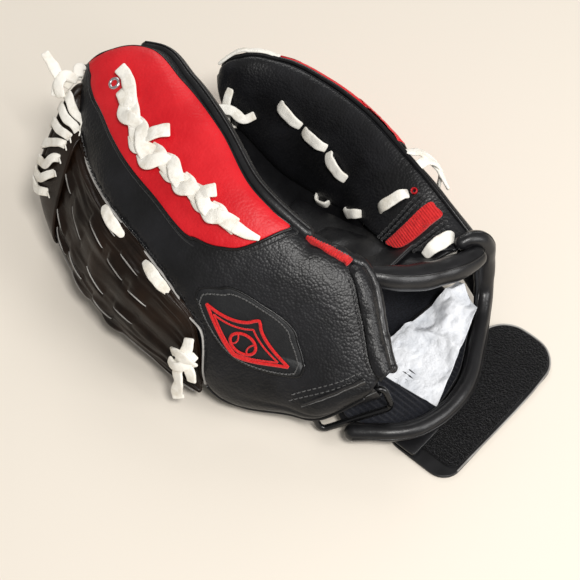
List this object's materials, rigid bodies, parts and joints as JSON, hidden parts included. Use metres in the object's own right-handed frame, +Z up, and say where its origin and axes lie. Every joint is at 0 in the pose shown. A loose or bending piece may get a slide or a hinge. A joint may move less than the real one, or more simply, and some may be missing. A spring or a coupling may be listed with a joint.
{
  "type": "baseball glove",
  "caption": "Left-hand youth baseball glove lying folded on its back, with a laced web, padded wrist opening, folding thumb and little-finger sides and a hook-and-loop strap.",
  "frame": {"origin": "on the surface that the glove lies on, under the middle of its box", "axes": "+X from the thumb to the little finger, +Y from the wrist to the fingertips, +Z up out of the pocket"},
  "size_m": [0.1584, 0.243, 0.0968],
  "materials": {
    "black_leather": "pebbled satin imitation leather",
    "smooth_leather": "smooth satin imitation leather",
    "web_leather": "glossy smooth leather",
    "red_leather": "pebbled satin imitation leather",
    "red_elastic": "ribbed matte elastic",
    "badge": "smooth satin with red stitching",
    "lace": "matte white rawhide lace",
    "eyelet_metal": "polished",
    "ribbed_cloth": "matte ribbed knit",
    "felt": "matte wool felt",
    "board": "matte",
    "white_sheet": "matte crinkled",
    "strap_pile": "fuzzy matte",
    "loop_plastic": "gloss"
  },
  "bodies": {
    "hand": {"index_back": "black_leather", "index_palm": "black_leather", "middle_back": "black_leather", "middle_palm": "black_leather", "ring_back": "black_leather", "ring_palm": "black_leather", "palm_centre": "black_leather", "palm_pad": "felt", "palm_lining": "ribbed_cloth", "heel_roll": "smooth_leather", "back_panel": "black_leather", "back_lining": "ribbed_cloth", "cuff": "black_leather", "cuff_cloth": "ribbed_cloth", "liner_sheet": "white_sheet", "wrist_binding": "smooth_leather", "strap_sewn_end": "smooth_leather"},
    "thumb": {"thumb_back": "black_leather", "thumb_palm": "black_leather", "thumb_stiffener": "board", "thumb_roll": "smooth_leather", "thumb_flex_insert": "red_elastic", "thumb_binding": "smooth_leather", "thumb_red_panel": "red_leather", "badge": "badge", "thumb_eyelet": "eyelet_metal", "thumb_lace": "lace", "web_panel": "web_leather", "web_weave": "web_leather", "web_top_lace": "lace", "web_loops": "lace", "crotch_knot": "lace", "palm_thumb_wall": "black_leather", "loop_tab": "black_leather"},
    "little_finger": {"pinky_back": "black_leather", "pinky_palm": "black_leather", "pinky_stiffener": "board", "pinky_red_panel": "red_leather", "pinky_lace": "lace", "pinky_tip_lace": "lace", "pinky_heel_lace": "lace", "pinky_flex_insert": "red_elastic", "pinky_eyelet": "eyelet_metal", "pinky_binding": "smooth_leather"},
    "loop": {"loop": "loop_plastic"},
    "strap": {"strap": "smooth_leather", "strap_pile": "strap_pile"},
    "strap_tip": {"strap_tip": "smooth_leather", "strap_hook": "strap_pile"}
  },
  "joints": [
    {"name": "thumb_fold", "type": "hinge", "parent": "hand", "child": "thumb", "pos_m": [-0.0689, 0.0015, 0.007], "axis": [0, -1, 0], "range_deg": [0, 28]},
    {"name": "little_finger_fold", "type": "hinge", "parent": "hand", "child": "little_finger", "pos_m": [0.0531, 0.0135, 0.0077], "axis": [-0.153, 0.9873, 0.043], "range_deg": [0, 24]},
    {"name": "loop_swivel", "type": "hinge", "parent": "thumb", "child": "loop", "pos_m": [-0.0324, -0.0665, 0.0195], "axis": [-0.7019, 0.6019, -0.3809], "range_deg": [0, 60]},
    {"name": "strap_fold", "type": "hinge", "parent": "hand", "child": "strap", "pos_m": [-0.0279, -0.103, 0.0032], "axis": [0, 1, 0], "range_deg": [0, 170]},
    {"name": "strap_tip_bend", "type": "hinge", "parent": "strap", "child": "strap_tip", "pos_m": [0.0151, -0.103, 0], "axis": [0, 1, 0], "range_deg": [0, 85]}
  ]
}
